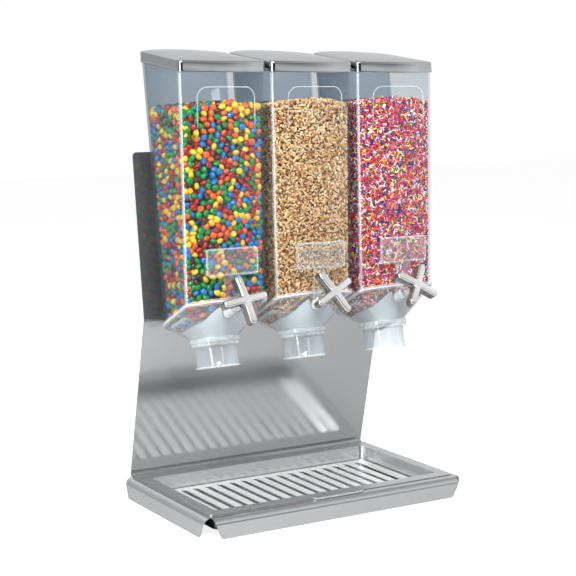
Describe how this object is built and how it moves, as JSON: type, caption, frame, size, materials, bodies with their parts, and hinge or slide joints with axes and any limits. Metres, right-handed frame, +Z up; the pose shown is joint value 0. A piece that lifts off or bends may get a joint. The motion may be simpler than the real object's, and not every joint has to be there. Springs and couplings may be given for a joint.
{
  "type": "cereal dispenser",
  "caption": "Free-standing dry-food dispenser: clear canisters on a bent steel stand, with cross knobs turning portion wheels, round chutes and a catch tray with a slotted grate.",
  "frame": {"origin": "centre of the footprint, on the surface that the stand rests on", "axes": "+X to the right across the front, +Y to the back, +Z up"},
  "size_m": [0.441, 0.2639, 0.6647],
  "materials": {
    "stand_steel": "satin brushed stainless sheet",
    "tray_steel": "satin brushed stainless pan",
    "grate_steel": "bright brushed stainless slotted plate",
    "hanger_steel": "brushed stainless bracket",
    "fastener_steel": "bright steel screws and nuts",
    "clear_canister": "clear gloss plastic with a cool grey tint",
    "clear_funnel": "clear gloss plastic",
    "clear_chute": "clear gloss plastic",
    "clear_label": "clear gloss plastic",
    "lid_silver": "metallised silver, brushed look",
    "seal_silicone": "translucent silicone",
    "housing_frost": "frosted translucent plastic",
    "wheel_silicone": "white flexible silicone",
    "shaft_steel": "turned stainless",
    "bush_plastic": "natural acetal",
    "knob_silver": "satin metallised silver"
  },
  "bodies": {
    "stand": {"stand_sheet": "stand_steel", "hanger_left": "hanger_steel", "hanger_middle": "hanger_steel", "hanger_right": "hanger_steel", "hanger_screws": "fastener_steel", "hanger_nuts": "fastener_steel"},
    "tray": {"catch_tray": "tray_steel"},
    "grate": {"drip_grate": "grate_steel"},
    "canister_unit_left": {"canister_left": "clear_canister", "hook_left": "clear_canister", "rim_gasket_left": "seal_silicone", "funnel_left": "clear_funnel", "wheel_housing_left": "housing_frost", "shaft_bush_left": "bush_plastic", "chute_left": "clear_chute", "label_holder_left": "clear_label"},
    "lid_unit_left": {"lid_left": "lid_silver", "lid_seal_left": "seal_silicone"},
    "rotor_left": {"portion_wheel_left": "wheel_silicone", "shaft_left": "shaft_steel", "knob_left": "knob_silver"},
    "canister_unit_middle": {"canister_middle": "clear_canister", "hook_middle": "clear_canister", "rim_gasket_middle": "seal_silicone", "funnel_middle": "clear_funnel", "wheel_housing_middle": "housing_frost", "shaft_bush_middle": "bush_plastic", "chute_middle": "clear_chute", "label_holder_middle": "clear_label"},
    "lid_unit_middle": {"lid_middle": "lid_silver", "lid_seal_middle": "seal_silicone"},
    "rotor_middle": {"portion_wheel_middle": "wheel_silicone", "shaft_middle": "shaft_steel", "knob_middle": "knob_silver"},
    "canister_unit_right": {"canister_right": "clear_canister", "hook_right": "clear_canister", "rim_gasket_right": "seal_silicone", "funnel_right": "clear_funnel", "wheel_housing_right": "housing_frost", "shaft_bush_right": "bush_plastic", "chute_right": "clear_chute", "label_holder_right": "clear_label"},
    "lid_unit_right": {"lid_right": "lid_silver", "lid_seal_right": "seal_silicone"},
    "rotor_right": {"portion_wheel_right": "wheel_silicone", "shaft_right": "shaft_steel", "knob_right": "knob_silver"}
  },
  "joints": [
    {"name": "tray_lift", "type": "slide", "parent": "stand", "child": "tray", "axis": [0, -0.213, 0.977], "range_m": [0, 0.06]},
    {"name": "grate_lift", "type": "slide", "parent": "tray", "child": "grate", "axis": [0, 0, 1], "range_m": [0, 0.05]},
    {"name": "canister_lift_left", "type": "slide", "parent": "stand", "child": "canister_unit_left", "axis": [0, 0.1271, 0.9919], "range_m": [0, 0.08]},
    {"name": "lid_lift_left", "type": "slide", "parent": "canister_unit_left", "child": "lid_unit_left", "axis": [0, 0.0872, 0.9962], "range_m": [0, 0.1]},
    {"name": "knob_turn_left", "type": "hinge", "parent": "canister_unit_left", "child": "rotor_left", "pos_m": [-0.145, -0.0484, 0.2946], "axis": [0, -0.8988, 0.4384], "continuous": true},
    {"name": "canister_lift_middle", "type": "slide", "parent": "stand", "child": "canister_unit_middle", "axis": [0, 0.1271, 0.9919], "range_m": [0, 0.08]},
    {"name": "lid_lift_middle", "type": "slide", "parent": "canister_unit_middle", "child": "lid_unit_middle", "axis": [0, 0.0872, 0.9962], "range_m": [0, 0.1]},
    {"name": "knob_turn_middle", "type": "hinge", "parent": "canister_unit_middle", "child": "rotor_middle", "pos_m": [0, -0.0484, 0.2946], "axis": [0, -0.8988, 0.4384], "continuous": true},
    {"name": "canister_lift_right", "type": "slide", "parent": "stand", "child": "canister_unit_right", "axis": [0, 0.1271, 0.9919], "range_m": [0, 0.08]},
    {"name": "lid_lift_right", "type": "slide", "parent": "canister_unit_right", "child": "lid_unit_right", "axis": [0, 0.0872, 0.9962], "range_m": [0, 0.1]},
    {"name": "knob_turn_right", "type": "hinge", "parent": "canister_unit_right", "child": "rotor_right", "pos_m": [0.145, -0.0484, 0.2946], "axis": [0, -0.8988, 0.4384], "continuous": true}
  ]
}
